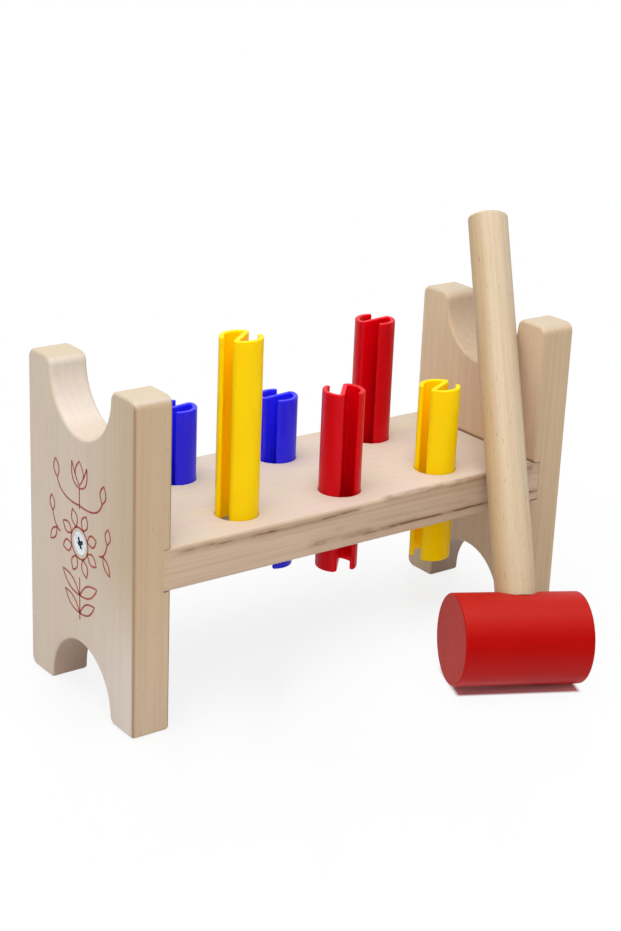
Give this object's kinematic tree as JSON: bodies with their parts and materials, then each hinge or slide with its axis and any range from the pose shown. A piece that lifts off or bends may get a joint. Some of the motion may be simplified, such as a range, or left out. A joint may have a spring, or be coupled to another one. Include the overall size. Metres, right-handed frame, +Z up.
{
  "type": "peg pounding bench",
  "caption": "Wooden toy hammer bench with notched end boards, sprung plastic pegs that are driven through its top, and a loose wooden mallet leaning on its front edge.",
  "frame": {"origin": "on the floor, under the middle of the bench and its leaning mallet taken together", "axes": "+X along the bench towards the end where the mallet leans, +Y from the mallet's side to the back, +Z up"},
  "size_m": [0.227, 0.1562, 0.1868],
  "materials": {
    "beech": "sanded and clear matt lacquered beech",
    "handle_wood": "sanded beech rod, clear matt",
    "red_paint": "wood under satin red paint",
    "yellow_plastic": "glossy extruded plastic",
    "red_plastic": "glossy extruded plastic",
    "blue_plastic": "glossy extruded plastic",
    "zinc": "bright zinc plate"
  },
  "bodies": {
    "bench": {"left_end_board": "beech", "right_end_board": "beech", "bench_top": "beech", "left_screw": "zinc", "right_screw": "zinc"},
    "back_left_peg": {"blue_peg_back_left": "blue_plastic"},
    "back_middle_peg": {"blue_peg_back_middle": "blue_plastic"},
    "back_right_peg": {"red_peg_back_right": "red_plastic"},
    "front_left_peg": {"yellow_peg_front_left": "yellow_plastic"},
    "front_middle_peg": {"red_peg_front_middle": "red_plastic"},
    "front_right_peg": {"yellow_peg_front_right": "yellow_plastic"},
    "mallet": {"mallet_head": "red_paint", "mallet_handle": "handle_wood"}
  },
  "joints": [
    {"name": "back_left_peg_slide", "type": "slide", "parent": "bench", "child": "back_left_peg", "axis": [0, 0, 1], "range_m": [-0.032, 0.0435]},
    {"name": "back_middle_peg_slide", "type": "slide", "parent": "bench", "child": "back_middle_peg", "axis": [0, 0, 1], "range_m": [-0.0285, 0.047]},
    {"name": "back_right_peg_slide", "type": "slide", "parent": "bench", "child": "back_right_peg", "axis": [0, 0, 1], "range_m": [-0.056, 0.0195]},
    {"name": "front_left_peg_slide", "type": "slide", "parent": "bench", "child": "front_left_peg", "axis": [0, 0, 1], "range_m": [-0.0755, 0]},
    {"name": "front_middle_peg_slide", "type": "slide", "parent": "bench", "child": "front_middle_peg", "axis": [0, 0, 1], "range_m": [-0.0445, 0.031]},
    {"name": "front_right_peg_slide", "type": "slide", "parent": "bench", "child": "front_right_peg", "axis": [0, 0, 1], "range_m": [-0.038, 0.0375]},
    {"name": "mallet_lift", "type": "slide", "parent": "bench", "child": "mallet", "axis": [0, 0, 1], "range_m": [0, 0.2]}
  ]
}
